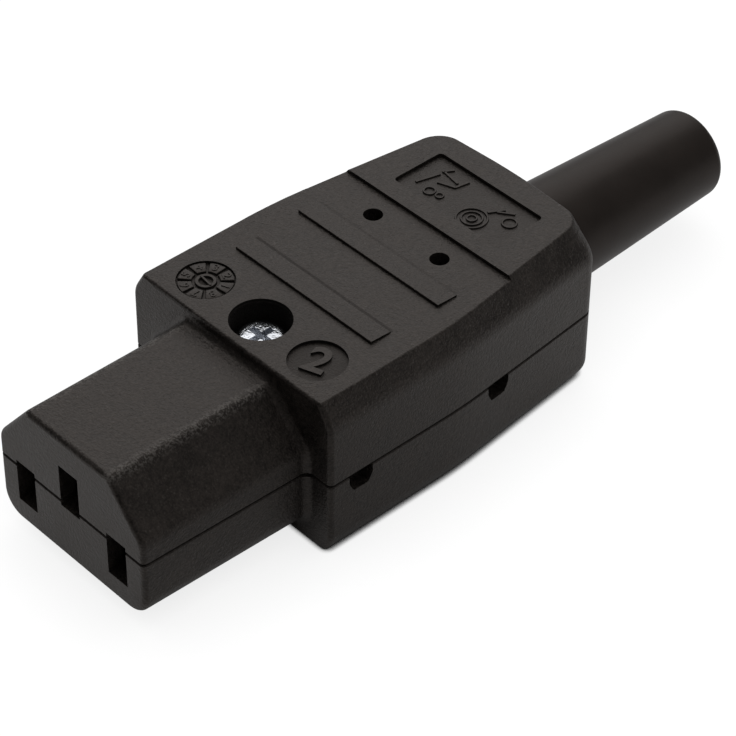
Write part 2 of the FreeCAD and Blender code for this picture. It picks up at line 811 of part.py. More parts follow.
def bend_sleeve():
    """The tapered sleeve that keeps the cord from kinking, with the flange that the shells hold."""
    end_rounding = min(sleeve_edge_radius, sleeve_edge_share * sleeve_end_wall)
    outline = [
        (sleeve_bore_radius, flange_front, sleeve_bore_edge),
        (sleeve_root_radius, flange_front, 0),
        (sleeve_root_radius, body_rear, 0),
        (sleeve_end_radius, sleeve_end_y, end_rounding),
        (sleeve_bore_radius, sleeve_end_y, sleeve_bore_edge),
    ]
    face = Part.Face(rounded_wire(outline, level(0)))
    tube = face.revolve(V(0, 0, 0), V(0, 1, 0), 360)
    corners = []
    for x, z in ((1, 1), (1, -1), (-1, -1), (-1, 1)):
        corners.append((x * flange_half_width, z * flange_half_height, flange_corner_radius))
    flange = prism(corners, facing(flange_front), V(0, flange_thickness, 0))
    middle_radius = (sleeve_bore_radius + sleeve_root_radius) / 2
    flange = flange.cut(along_y(middle_radius, 0, 0, flange_front - past, cavity_rear + past))
    sleeve = tube.fuse(flange)
    sleeve.translate(V(0, 0, cord_axis_z))
    return sleeve.removeSplitter()


def terminal_nodes(name, x, y, base_bottom):
    """The nut, plate and screw of one terminal."""
    plate_bottom = base_bottom + strip
    return {
        name + "_terminal_nut": square_nut(x, y, base_bottom),
        name + "_pressure_plate": pressure_plate(x, y, plate_bottom),
        name + "_terminal_screw": terminal_screw(x, y, plate_bottom + plate_thickness),
    }


def build():
    """All pieces of the connector, by node name."""
    nodes = {
        "upper_shell": upper_shell(),
        "lower_shell": lower_shell(),
        "cover_screw": cover_screw(),
        "cover_nut": cover_nut(),
        "line_contact": live_contact(1),
        "neutral_contact": live_contact(-1),
        "earth_contact": earth_contact(),
        "cord_clamp_bar": cord_clamp_bar(),
        "left_clamp_screw": clamp_screw(-1),
        "right_clamp_screw": clamp_screw(1),
        "bend_sleeve": bend_sleeve(),
    }
    nodes.update(terminal_nodes("line", live_pad_x, live_terminal_y, live_base_bottom))
    nodes.update(terminal_nodes("neutral", -live_pad_x, live_terminal_y, live_base_bottom))
    nodes.update(terminal_nodes("earth", 0, earth_terminal_y, earth_base_bottom))
    return nodes


def main():
    """Write one STEP file for each piece."""
    os.makedirs("parts", exist_ok=True)
    for name, shape in build().items():
        shape.exportStep("parts/" + name + ".step")
        print(name, "solids", len(shape.Solids), "volume", round(shape.Volume, 2),
              "valid", shape.isValid())


main()
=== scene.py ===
"""Dresses the rewireable appliance connector: moulded shells, bend sleeve, screw, marks and studio."""
import json
import math

import bmesh
import bpy
from mathutils import Matrix, Vector


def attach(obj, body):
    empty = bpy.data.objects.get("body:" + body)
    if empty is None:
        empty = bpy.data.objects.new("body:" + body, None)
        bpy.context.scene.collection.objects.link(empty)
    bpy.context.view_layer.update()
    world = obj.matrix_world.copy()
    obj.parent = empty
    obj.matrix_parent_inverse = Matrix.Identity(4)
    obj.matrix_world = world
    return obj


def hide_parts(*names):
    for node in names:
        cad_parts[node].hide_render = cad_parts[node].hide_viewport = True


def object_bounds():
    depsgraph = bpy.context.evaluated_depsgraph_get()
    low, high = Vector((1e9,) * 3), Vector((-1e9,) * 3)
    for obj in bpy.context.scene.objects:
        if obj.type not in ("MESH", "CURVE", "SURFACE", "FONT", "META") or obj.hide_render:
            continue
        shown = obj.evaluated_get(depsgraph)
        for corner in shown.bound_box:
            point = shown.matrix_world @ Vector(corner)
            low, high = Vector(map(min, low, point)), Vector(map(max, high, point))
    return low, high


bl_info = {
    "name": "Appliance connector",
    "version": (1, 0, 0),
    "blender": (4, 5, 0),
    "location": "View3D > Sidebar > Connector",
    "description": "Dresses the packed connector and sets up its studio",
    "category": "Object",
}

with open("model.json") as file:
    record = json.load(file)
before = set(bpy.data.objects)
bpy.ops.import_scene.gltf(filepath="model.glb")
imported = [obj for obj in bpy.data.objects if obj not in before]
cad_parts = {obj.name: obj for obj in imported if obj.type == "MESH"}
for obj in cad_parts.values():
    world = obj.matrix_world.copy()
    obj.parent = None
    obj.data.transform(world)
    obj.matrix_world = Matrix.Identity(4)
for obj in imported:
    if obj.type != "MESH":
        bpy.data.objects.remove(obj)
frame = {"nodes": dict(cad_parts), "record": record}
cad_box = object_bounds()

MM = 0.001
BODY = "root"
UP = Vector((0, 0, 1))
WHITE = (1.0, 1.0, 1.0, 1.0)

# Heights on the shells, above the plane where they meet
cover_top = 9.9 * MM
rear_top = 10.3 * MM
mark_floor = cover_top - 0.35 * MM
label_floor = rear_top - 0.4 * MM
nose_top = 8.3 * MM
seam_half = 0.17 * MM

# Places along the shells, from the mating face
body_front_y = 20.4 * MM
mark_y = 24.66 * MM
ridges_front_y = 28.4 * MM
label_front_y = 49.7 * MM
relief_back_y = 56.9 * MM

# Places across the shells, from the middle
nose_top_half = 6.3 * MM
label_half_width = 7.6 * MM
mark_x = 8.38 * MM
mark_reach = 3.2 * MM
ridge_half = 10.1 * MM
relief_half = 11.5 * MM         # at the body's front; it narrows with the body
relief_taper = 0.0278

# Soft borders between one finish and the next
hair_border = 0.02 * MM
thin_border = 0.05 * MM
soft_border = 0.1 * MM
wide_border = 0.3 * MM

# Points nearer than this are one point
join_distance = 0.001 * MM

# Edges sharper than this stay sharp
sharp_angle = math.radians(30)


class Field:
    """A value in a node tree; arithmetic on it adds Math nodes."""

    def __init__(self, nodes, socket):
        self.nodes = nodes
        self.socket = socket

    def math(self, operation, first, second):
        return self.nodes.add("ShaderNodeMath", {"operation": operation}, {0: first, 1: second})

    def __add__(self, other):
        return self.math("ADD", self, other)

    def __radd__(self, other):
        return self.math("ADD", other, self)

    def __sub__(self, other):
        return self.math("SUBTRACT", self, other)

    def __rsub__(self, other):
        return self.math("SUBTRACT", other, self)

    def __mul__(self, other):
        return self.math("MULTIPLY", self, other)

    def __rmul__(self, other):
        return self.math("MULTIPLY", other, self)


# Places of the colour sockets on a Mix node, after those for numbers and vectors
mix_first = 6
mix_second = 7
mix_result = 2


class Nodes:
    """A node tree in the making. One method adds any node, and the rest add what is often needed."""

    def __init__(self, tree):
        self.tree = tree

    def place(self, value, socket):
        """Gives a socket a link or a plain value."""
        if isinstance(value, Field):
            self.tree.links.new(value.socket, socket)
        else:
            socket.default_value = value

    def add(self, kind, settings, sockets, output=0):
        node = self.tree.nodes.new(kind)
        for name, value in settings.items():
            setattr(node, name, value)
        for name, value in sockets.items():
            self.place(value, node.inputs[name])
        return Field(self, node.outputs[output])

    def position(self, space="Object"):
        return self.add("ShaderNodeTexCoord", {}, {}, space)

    def along(self, axis, space="Object"):
        """The place along one axis."""
        return self.add("ShaderNodeSeparateXYZ", {}, {"Vector": self.position(space)}, axis)

    def ray(self, kind):
        return self.add("ShaderNodeLightPath", {}, {}, kind)

    def noise(self, size, detail, roughness):
        """Smooth noise from 0 to 1 with features of one size, in metres."""
        sockets = {"Vector": self.position(), "Scale": 1 / size, "Detail": detail, "Roughness": roughness}
        return self.add("ShaderNodeTexNoise", {}, sockets)

    def spread(self, value, low, high):
        """The value's range from low to high stretched to 0 and 1."""
        sockets = {"Value": value, "From Min": low, "From Max": high}
        return self.add("ShaderNodeMapRange", {"clamp": True}, sockets)

    def between(self, value, low, high, border):
        """1 from low to high, and 0 beyond a soft border."""
        return self.spread(value, low - border, low) * self.spread(value, high + border, high)

    def size_of(self, value):
        """The value without its sign."""
        return self.add("ShaderNodeMath", {"operation": "ABSOLUTE"}, {0: value})

    def mix(self, share, first, second):
        """A colour between two colours."""
        first = first if isinstance(first, Field) else (*first, 1.0)
        second = second if isinstance(second, Field) else (*second, 1.0)
        sockets = {0: share, mix_first: first, mix_second: second}
        return self.add("ShaderNodeMix", {"data_type": "RGBA"}, sockets, mix_result)


# The part of a noise's range that makes a shade
shade_low = 0.35
shade_high = 0.65


class Finish(Nodes):
    """A material in the making."""

    def __init__(self, name, colour, roughness, metallic=0.0, specular=0.5, tint=(1.0, 1.0, 1.0)):
        self.material = bpy.data.materials.new(name)
        self.material.use_nodes = True
        super().__init__(self.material.node_tree)
        self.shader = self.tree.nodes["Principled BSDF"]
        self.material.diffuse_color = (*colour, 1.0)
        self.set("Base Color", (*colour, 1.0))
        self.set("Roughness", roughness)
        self.set("Metallic", metallic)
        self.set("Specular IOR Level", specular)
        self.set("Specular Tint", (*tint, 1.0))

    def set(self, socket, value):
        self.place(value, self.shader.inputs[socket])

    def shade(self, colour, pattern, darkest, lightest):
        """Sets a colour that varies with a pattern about its plain shade."""
        share = self.spread(pattern, shade_low, shade_high)
        self.set("Base Color", self.mix(share, shaded(colour, darkest), shaded(colour, lightest)))

    def uneven(self, roughness, pattern, swing):
        """A roughness that swings with a pattern about its plain value."""
        return roughness - swing / 2 + swing * pattern

    def bump(self, height, depth):
        """Lifts the surface by height times depth, in metres."""
        self.set("Normal", self.add("ShaderNodeBump", {}, {"Height": height, "Distance": depth}))


def shaded(colour, factor):
    """A colour made lighter or darker."""
    return tuple(channel * factor for channel in colour)


def sunk_floors(finish, out, back, height):
    """The floor of the label field, and the floors of the two round marks."""
    label = finish.between(height, label_floor - soft_border, label_floor + thin_border, thin_border)
    label = label * finish.spread(back, label_front_y - wide_border, label_front_y)
    label = label * finish.spread(out, label_half_width + wide_border, label_half_width)
    mark = finish.between(height, mark_floor - soft_border, mark_floor + thin_border, thin_border)
    mark = mark * finish.between(out, mark_x - mark_reach, mark_x + mark_reach, soft_border)
    return label, mark


# Painted highlight along the nose's upper edges: each pair of places is where it starts and where it is full
highlight_across = (0.95 * MM, 0.2 * MM)
highlight_up = (nose_top - 0.9 * MM, nose_top - 0.5 * MM)
highlight_along = (body_front_y - 0.5 * MM, body_front_y - 1.5 * MM)
highlight_tips = (0.47, 0.58)
light_specks = (0.68, 0.8)
speck_share = 0.5


def scuffs(finish, out, back, height, fine, grain):
    """Painted highlight on the grain tips along the nose's upper edges, and a few light specks everywhere.
    """
    edge = finish.spread(finish.size_of(out - nose_top_half), *highlight_across)
    edge = edge * finish.spread(height, *highlight_up)
    edge = edge * finish.spread(back, *highlight_along)
    tips = finish.spread(grain, *highlight_tips)
    return edge * tips + finish.spread(fine, *light_specks) * speck_share


# The dark seam, and the painted shade on the relief's low walls, the counterbore's wall and the creases
# behind the ridges: how dark each is, and where it starts and is full
seam_core = 0.85
wall_dark = 0.8
walls_front_y = body_front_y + 0.6 * MM
edge_low = cover_top + 0.04 * MM
edge_high = cover_top + 0.11 * MM
bore_dark = 0.9
bore_squares = (11.8 * MM * MM, 11.0 * MM * MM)     # squares of the radius
bore_down = (cover_top - 0.1 * MM, cover_top - 0.6 * MM)
crease_places = ((32.8 * MM, 0.34), (41.55 * MM, 0.12))     # behind each ridge, with its darkness
crease_before = 0.05 * MM
crease_behind = 0.32 * MM
crease_up = (cover_top - 0.2 * MM, cover_top - 0.1 * MM)


def dark_places(finish, out, back, height, wall_top):
    """The dark seam, and painted shade on the low walls of the relief, the counterbore's wall and the
    creases behind the ridges.
    """
    seam = finish.spread(finish.size_of(height), seam_half, seam_half * seam_core)
    walls = finish.between(height, mark_floor + thin_border, wall_top, hair_border)
    walls = walls * finish.between(back, walls_front_y, ridges_front_y, soft_border)
    edges = finish.between(height, edge_low, edge_high, hair_border)
    edges = edges * finish.between(back, ridges_front_y, relief_back_y, soft_border)
    level = finish.spread(out + (back - body_front_y) * relief_taper, relief_half, relief_half - thin_border)
    middle = back - mark_y
    bore = finish.spread(out * out + middle * middle, *bore_squares) * finish.spread(height, *bore_down)
    creases = sum(finish.between(back, place - crease_before, place + crease_behind, soft_border) * darkness
                  for place, darkness in crease_places)
    creases = creases * finish.spread(out, ridge_half + soft_border, ridge_half)
    creases = creases * finish.spread(height, *crease_up)
    # Painted shade: the low walls, the counterbore's wall and the creases are darkened where shade falls, on
    # top of the seam's dark line
    total = seam + (walls + edges) * level * wall_dark + bore * bore_dark + creases
    return finish.spread(total, 0.0, 1.0)


# The moulded skin
coarse_grain = 2.2              # size of the coarse grain, as a multiple of the fine grain's
grain_share_in_shade = 0.7      # the rest of the shade comes from the clouds
moulded_shade = (0.38, 0.62)    # part of the pattern's range that makes the shade
sunk_shade = 0.45
sunk_share = 0.6
dark_roughness = 0.5
mark_roughness = 0.12


def moulded_finish(name, settings, grain_share=1.0, wall_top=cover_top - thin_border):
    """Charcoal plastic from a spark-eroded mould: fine grain, darker sunk floors, a painted highlight on the
    nose's edges, and painted shade on the low walls, counterbore and creases.
    """
    finish = Finish(name, settings.colour, settings.roughness, 0.0, settings.gloss, settings.sheen_colour)
    out = finish.size_of(finish.along("X"))
    back = finish.along("Y")
    height = finish.along("Z")
    cloud = finish.noise(settings.cloud_size, detail=3.0, roughness=0.6)
    fine = finish.noise(settings.grain_size, detail=1.0, roughness=0.5)
    coarse = finish.noise(settings.grain_size * coarse_grain, detail=2.0, roughness=0.6)
    grain = (fine + coarse) * 0.5
    pattern = cloud * (1 - grain_share_in_shade) + grain * grain_share_in_shade
    shade = finish.spread(pattern, *moulded_shade)
    colour = finish.mix(shade, shaded(settings.colour, 1 - settings.grain_contrast),
                        shaded(settings.colour, 1 + settings.grain_contrast))
    label, mark = sunk_floors(finish, out, back, height)
    colour = finish.mix((label + mark) * sunk_share, colour, shaded(settings.colour, sunk_shade))
    # Painted highlight on the grain tips along the nose's upper edges, and light specks at random
    colour = finish.mix(scuffs(finish, out, back, height, fine, grain), colour, settings.scuff_colour)
    # The seam's dark line, and painted shade on the low walls, the counterbore and the creases
    dark = dark_places(finish, out, back, height, wall_top)
    finish.set("Base Color", finish.mix(dark, colour, settings.dark_colour))
    roughness = finish.uneven(settings.roughness, cloud, swing=0.16)
    finish.set("Roughness", roughness + dark * dark_roughness + mark * mark_roughness)
    finish.bump(grain, settings.grain_depth * grain_share)
    return finish.material


sleeve_cloud_share = 0.7        # of the sleeve's relief; the rest is pores


def sleeve_finish(settings):
    """Soft black plastic with a satin skin."""
    finish = Finish("satin_sleeve", settings.colour, settings.roughness, 0.0, settings.gloss,
                    settings.sheen_colour)
    cloud = finish.noise(settings.cloud_size, detail=3.0, roughness=0.55)
    pores = finish.noise(settings.pore_size, detail=2.0, roughness=0.6)
    finish.shade(settings.colour, cloud, darkest=0.9, lightest=1.1)
    finish.set("Roughness", finish.uneven(settings.roughness, cloud, swing=0.1))
    finish.bump(cloud * sleeve_cloud_share + pores * (1 - sleeve_cloud_share), settings.pore_depth)
    return finish.material


metal_cloud = 6                 # size of the clouds on metal, as a multiple of the grain's


def metal_finish(name, colour, roughness, grain_size, grain_depth):
    """Plated metal with a fine grain and small differences in sheen."""
    finish = Finish(name, colour, roughness, metallic=1.0)
    cloud = finish.noise(grain_size * metal_cloud, detail=3.0, roughness=0.6)
    grain = finish.noise(grain_size, detail=2.0, roughness=0.6)
    finish.shade(colour, cloud, darkest=0.85, lightest=1.1)
    finish.set("Roughness", finish.uneven(roughness, cloud, swing=0.16))
    finish.bump(grain, grain_depth)
    return finish.material


def show(work, name, material, replaces=()):
    """Turns a finished bmesh into a piece that rides on the body."""
    for face in work.faces:
        face.smooth = True
    for edge in work.edges:
        edge.smooth = len(edge.link_faces) == 2 and edge.calc_face_angle(0) < sharp_angle
    mesh = bpy.data.meshes.new(name)
    work.to_mesh(mesh)
    work.free()
    piece = bpy.data.objects.new(name, mesh)
    bpy.context.scene.collection.objects.link(piece)
    mesh.materials.append(material)
    weighted = piece.modifiers.new("flat faces stay flat", "WEIGHTED_NORMAL")
    weighted.keep_sharp = True
    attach(piece, BODY)
    if replaces:
        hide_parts(*replaces)


def dressed(node, material):
    """A merged, smoothly shaded copy of a node's mesh, which stands for the node."""
    work = bmesh.new()
    work.from_mesh(frame["nodes"][node].data)
    bmesh.ops.remove_doubles(work, verts=work.verts, dist=join_distance)
    show(work, node + "_dressed", material, replaces=(node,))


def outward(work):
    """Merges doubles, takes out faces without area and turns every face outwards."""
    bmesh.ops.remove_doubles(work, verts=work.verts, dist=join_distance)
    bmesh.ops.dissolve_degenerate(work, edges=work.edges, dist=join_distance)
    bmesh.ops.recalc_face_normals(work, faces=work.faces)


def ring(work, centre, inner, outer, low, high, slope, steps):
    """A low raised ring with sloping sides, spun about the vertical."""
    profile = [(inner, low), (outer, low), (outer - slope, high), (inner + slope, high)]
    verts = [work.verts.new((centre.x + radius, centre.y, level)) for radius, level in profile]
    edges = [work.edges.new((verts[index - 1], verts[index])) for index in range(len(verts))]
    bmesh.ops.spin(work, geom=verts + edges, cent=(centre.x, centre.y, 0), axis=UP, dvec=(0, 0, 0),
                   angle=2 * math.pi, steps=steps, use_merge=True, use_duplicate=False)


def bar(work, centre, length, width, turn, low, high, slope):
    """A low raised bar with sloping sides, turned in the plane."""
    middle = (low + high) / 2
    matrix = Matrix.Translation((centre.x, centre.y, middle)) @ Matrix.Rotation(turn, 4, "Z")
    size = Matrix.Diagonal((length, width, high - low, 1))
    made = bmesh.ops.create_cube(work, size=1.0, matrix=matrix @ size)
    tops = [vert for vert in made["verts"] if vert.co.z > middle]
    shrink = Matrix.Diagonal(((length - 2 * slope) / length, (width - 2 * slope) / width, 1, 1))
    turned = Matrix.Rotation(-turn, 4, "Z") @ Matrix.Translation((-centre.x, -centre.y, 0))
    bmesh.ops.transform(work, matrix=shrink, space=turned, verts=tops)


# A rim's edges bend at least this much, in radians
rim_angle = 0.8
rim_segments = 2
lobe_steps = 8


def lobe(work, centre, inner, outer, middle, span, low, high, rounding):
    """A raised field of a dial: part of a ring with rounded upper edges."""
    begin = Matrix.Rotation(middle - span / 2, 3, "Z") @ Vector((1, 0, 0))
    base = Vector((centre.x, centre.y, low))
    ends = [work.verts.new(base + begin * radius) for radius in (inner, outer)]
    edge = work.edges.new(ends)
    before = set(work.faces)
    bmesh.ops.spin(work, geom=ends + [edge], cent=base, axis=UP, dvec=(0, 0, 0), angle=span,
                   steps=lobe_steps, use_merge=False, use_duplicate=False)
    faces = [face for face in work.faces if face not in before]
    lifted = bmesh.ops.extrude_face_region(work, geom=faces)["geom"]
    top = {part for part in lifted if isinstance(part, bmesh.types.BMVert)}
    bmesh.ops.translate(work, vec=(0, 0, high - low), verts=list(top))
    rim = [side for side in work.edges if side.verts[0] in top and side.verts[1] in top
           and side.calc_face_angle(0) > rim_angle]
    bmesh.ops.bevel(work, geom=rim, offset=rounding, offset_type="OFFSET", segments=rim_segments,
                    profile=0.5, affect="EDGES", clamp_overlap=True, material=-1)


# Height of a figure as a share of the font's size, and steps along each of its curves
figure_share = 0.7
figure_steps = 4


def numeral(work, text, centre, height, turn, low, high, weight):
    """A raised plain number with strokes of a chosen weight, standing on a level floor."""
    curve = bpy.data.curves.new("numeral " + text, "FONT")
    curve.body = text
    curve.size = height / figure_share
    curve.align_x = "CENTER"
    curve.align_y = "CENTER"
    curve.extrude = (high - low) / 2
    curve.offset = weight
    curve.resolution_u = figure_steps
    writer = bpy.data.objects.new("numeral " + text, curve)
    mesh = bpy.data.meshes.new_from_object(writer)
    place = Matrix.Translation((centre.x, centre.y, (low + high) / 2))
    mesh.transform(place @ Matrix.Rotation(turn, 4, "Z"))
    work.from_mesh(mesh)
    bpy.data.objects.remove(writer)
    bpy.data.curves.remove(curve)
    bpy.data.meshes.remove(mesh)


class ShellSettings(bpy.types.PropertyGroup):
    colour: bpy.props.FloatVectorProperty(
        name="Colour", description="Colour of the moulded shells", subtype="COLOR",
        size=3, min=0, max=1, default=(0.0235, 0.0195, 0.0170))
    # The seam's dark colour, also used for the painted shade on the low walls, the counterbore and the
    # creases
    dark_colour: bpy.props.FloatVectorProperty(
        name="Dark colour", description="Colour of the seam, and of the painted shade on the low walls, the counterbore and the creases",
        subtype="COLOR", size=3, min=0, max=1, default=(0.001, 0.001, 0.001))
    sheen_colour: bpy.props.FloatVectorProperty(
        name="Sheen colour", description="Colour of the sheen on the moulded skin", subtype="COLOR",
        size=3, min=0, max=1, default=(1.0, 0.89, 0.82))
    roughness: bpy.props.FloatProperty(
        name="Roughness", description="Roughness of the moulded skin", min=0, max=1, default=0.43)
    gloss: bpy.props.FloatProperty(
        name="Gloss", description="Strength of the sheen", min=0, max=1, default=0.48)
    grain_size: bpy.props.FloatProperty(
        name="Grain size", description="Size of the mould's spark grain", unit="LENGTH",
        default=0.2 * MM)
    grain_depth: bpy.props.FloatProperty(
        name="Grain depth", description="Depth of the mould's spark grain", unit="LENGTH",
        default=0.12 * MM)
    grain_contrast: bpy.props.FloatProperty(
        name="Grain contrast", description="Difference in shade between the grain's pits and tips",
        min=0, max=1, default=0.8)
    # A painted highlight along the nose's upper edges, also used for the light specks everywhere
    scuff_colour: bpy.props.FloatVectorProperty(
        name="Edge highlight colour", description="Colour of the painted highlight on the nose's edges and of the light specks",
        subtype="COLOR", size=3, min=0, max=1, default=(0.12, 0.112, 0.103))
    cloud_size: bpy.props.FloatProperty(
        name="Cloud size", description="Size of the faint clouds in the shade", unit="LENGTH",
        default=3.0 * MM)


class MarkSettings(bpy.types.PropertyGroup):
    radius: bpy.props.FloatProperty(
        name="Dial radius", description="Outer radius of the dial's fields", unit="LENGTH",
        default=2.9 * MM)
    hub: bpy.props.FloatProperty(
        name="Hub radius", description="Radius of the dial's middle", unit="LENGTH", default=1.15 * MM)
    groove: bpy.props.FloatProperty(
        name="Groove", description="Width of the grooves between the dial's fields", unit="LENGTH",
        default=0.32 * MM)
    height: bpy.props.FloatProperty(
        name="Relief", description="Height of the raised marks", unit="LENGTH", default=0.26 * MM)
    number_rise: bpy.props.FloatProperty(
        name="Number relief", description="Height of the dial's numbers above its fields", unit="LENGTH",
        default=0.08 * MM)
    line: bpy.props.FloatProperty(
        name="Line width", description="Width of the raised lines", unit="LENGTH", default=0.34 * MM)
    numeral_height: bpy.props.FloatProperty(
        name="Number height", description="Height of the dial's numbers", unit="LENGTH",
        default=0.95 * MM)
    pointer_turn: bpy.props.FloatProperty(
        name="Pointer", description="Direction of the bar in the dial's middle", subtype="ANGLE",
        default=math.radians(-8))
    number_turn: bpy.props.FloatProperty(
        name="Number's turn", description="Turn of the single number", subtype="ANGLE",
        default=math.radians(20))
    divisions: bpy.props.IntProperty(
        name="Divisions", description="Number of fields on the dial", min=2, default=8)


class SleeveSettings(bpy.types.PropertyGroup):
    colour: bpy.props.FloatVectorProperty(
        name="Colour", description="Colour of the bend sleeve", subtype="COLOR",
        size=3, min=0, max=1, default=(0.0325, 0.0265, 0.0232))
    sheen_colour: bpy.props.FloatVectorProperty(
        name="Sheen colour", description="Colour of the sheen on the sleeve", subtype="COLOR",
        size=3, min=0, max=1, default=(1.0, 0.84, 0.76))
    roughness: bpy.props.FloatProperty(
        name="Roughness", description="Roughness of the sleeve's skin", min=0, max=1, default=0.4)
    gloss: bpy.props.FloatProperty(
        name="Gloss", description="Strength of the sheen", min=0, max=1, default=0.22)
    cloud_size: bpy.props.FloatProperty(
        name="Cloud size", description="Size of the soft unevenness", unit="LENGTH", default=4.0 * MM)
    pore_size: bpy.props.FloatProperty(
        name="Pore size", description="Size of the skin's pores", unit="LENGTH", default=0.25 * MM)
    pore_depth: bpy.props.FloatProperty(
        name="Pore depth", description="Depth of the skin's pores", unit="LENGTH", default=0.03 * MM)


class MetalSettings(bpy.types.PropertyGroup):
    zinc_colour: bpy.props.FloatVectorProperty(
        name="Zinc colour", description="Colour of the zinc plate on the steel", subtype="COLOR",
        size=3, min=0, max=1, default=(0.80, 0.82, 0.86))
    zinc_roughness: bpy.props.FloatProperty(
        name="Zinc roughness", description="Roughness of the zinc plate", min=0, max=1, default=0.2)
    zinc_grain: bpy.props.FloatProperty(
        name="Zinc grain", description="Size of the dents in the plated heads", unit="LENGTH",
        default=0.45 * MM)
    zinc_depth: bpy.props.FloatProperty(
        name="Zinc depth", description="Depth of the dents in the plated heads", unit="LENGTH",
        default=0.06 * MM)
    brass_colour: bpy.props.FloatVectorProperty(
        name="Brass colour", description="Colour of the plain brass", subtype="COLOR",
        size=3, min=0, max=1, default=(0.72, 0.52, 0.22))
    brass_roughness: bpy.props.FloatProperty(
        name="Brass roughness", description="Roughness of the plain brass", min=0, max=1, default=0.32)
    tin_colour: bpy.props.FloatVectorProperty(
        name="Tin colour", description="Colour of the tin plate on the brass", subtype="COLOR",
        size=3, min=0, max=1, default=(0.62, 0.61, 0.58))
    tin_roughness: bpy.props.FloatProperty(
        name="Tin roughness", description="Roughness of the tin plate", min=0, max=1, default=0.36)
    strip_grain: bpy.props.FloatProperty(
        name="Brass grain", description="Size of the grain in brass and tin", unit="LENGTH",
        default=0.15 * MM)
    strip_depth: bpy.props.FloatProperty(
        name="Brass depth", description="Depth of the grain in brass and tin", unit="LENGTH",
        default=0.004 * MM)


class StageSettings(bpy.types.PropertyGroup):
    azimuth: bpy.props.FloatProperty(
        name="Azimuth", description="Camera's angle about the vertical", subtype="ANGLE",
        default=math.radians(46.906))
    elevation: bpy.props.FloatProperty(
        name="Elevation", description="Camera's angle above the floor", subtype="ANGLE",
        default=math.radians(40.731))
    roll: bpy.props.FloatProperty(
        name="Roll", description="Camera's turn about its own line of sight", subtype="ANGLE",
        default=math.radians(0.581))
    distance: bpy.props.FloatProperty(
        name="Distance", description="From the camera to the point it aims at", unit="LENGTH",
        default=300.44 * MM)
    lens: bpy.props.FloatProperty(
        name="Lens", description="Focal length in millimetres for a 36 mm sensor", default=145.47)
    aim: bpy.props.FloatVectorProperty(
        name="Aim", description="Point that the camera looks at", subtype="TRANSLATION", size=3,
        default=(5.834 * MM, 33.777 * MM, 2.016 * MM))
    key: bpy.props.FloatProperty(
        name="Key light", description="Power of the large soft light", unit="POWER", default=1.78)
    key_place: bpy.props.FloatVectorProperty(
        name="Key light's place", description="Where the large soft light hangs, from the aim",
        subtype="TRANSLATION", size=3, default=(-0.435, 0.375, 0.48))
    key_size: bpy.props.FloatProperty(
        name="Key light's size", description="Side of the large soft light", unit="LENGTH", default=0.8)
    ambient: bpy.props.FloatProperty(
        name="Ambient", description="Strength of the light from all sides", min=0, default=0.52)
    horizon: bpy.props.FloatProperty(
        name="Horizon", description="Strength of the light from the horizon", min=0, default=0.14)
    sky_start: bpy.props.FloatProperty(
        name="Sky start", description="Height, as a share of straight up, where the sky starts to lighten",
        min=0, max=1, default=0.4)
    front_dim: bpy.props.FloatProperty(
        name="Front", description="Share of the sky's light that comes from the front", min=0, max=1,
        default=0.15)
    floor_light: bpy.props.FloatProperty(
        name="Floor sheen", description="How light the floor is in the part's gloss", min=0, default=0.78)
    floor_dim: bpy.props.FloatProperty(
        name="Floor sheen at the right", description="How light the floor is in the gloss of the right side",
        min=0, default=0.32)
    floor_share: bpy.props.FloatProperty(
        name="Floor sheen's share", description="Share of the floor's gloss that casts no shadow",
        min=0, max=1, default=0.6)
    shadow: bpy.props.FloatProperty(
        name="Shadow", description="Share of the floor's picture that is its true lit surface", min=0, max=1,
        default=0.15)
    white: bpy.props.FloatProperty(
        name="Floor white", description="Strength of the floor in the picture, apart from its shadow",
        min=0, default=1.175)
    halo: bpy.props.FloatProperty(
        name="Halo", description="Strength of the soft shade round the part", min=0, max=1, default=0.22)
    halo_reach: bpy.props.FloatProperty(
        name="Halo's reach", description="Reach of the soft shade round the part", unit="LENGTH",
        default=12 * MM)
    contact: bpy.props.FloatProperty(
        name="Contact shadow", description="Reach of the dark line where the part meets the floor",
        unit="LENGTH", default=0.8 * MM)


class CONNECTOR_OT_shells(bpy.types.Operator):
    """Dress the two moulded shells and give the clamp bar the same plastic"""
    bl_idname = "connector.shells"
    bl_label = "Shells"

    def execute(self, context):
        material = moulded_finish("moulded_shell", context.scene.connector_shells)
        for node in ("upper_shell", "lower_shell"):
            dressed(node, material)
        frame["nodes"]["cord_clamp_bar"].data.materials.clear()
        frame["nodes"]["cord_clamp_bar"].data.materials.append(material)
        return {"FINISHED"}


# How far a raised mark reaches into its floor
sink = 0.02 * MM

# Parts of the dial as shares of the groove, the hub and the line
lobe_rounding = 0.3
hub_slope = 0.25
hub_hole = 0.6
pointer_length = 1.7
line_slope = 0.2

# The single number's height as a share of the dial's radius, and the extra width of strokes
number_share = 1.25
number_stroke = 0.12 * MM
figure_stroke = 0.015 * MM

hub_steps = 64
ring_steps = 32
mark_grain = 0.5                # the marks' grain as a share of the shells'
# The painted shade on the marks' walls stops this far below their tops
mark_top_border = 0.06 * MM     # how far below their tops the marks stay light


def mark_finish(context):
    """The shells' plastic with less grain, made once for all the marks."""
    made = bpy.data.materials.get("moulded_mark")
    top = mark_floor + context.scene.connector_marks.height
    return made or moulded_finish("moulded_mark", context.scene.connector_shells, mark_grain,
                                  top - mark_top_border)


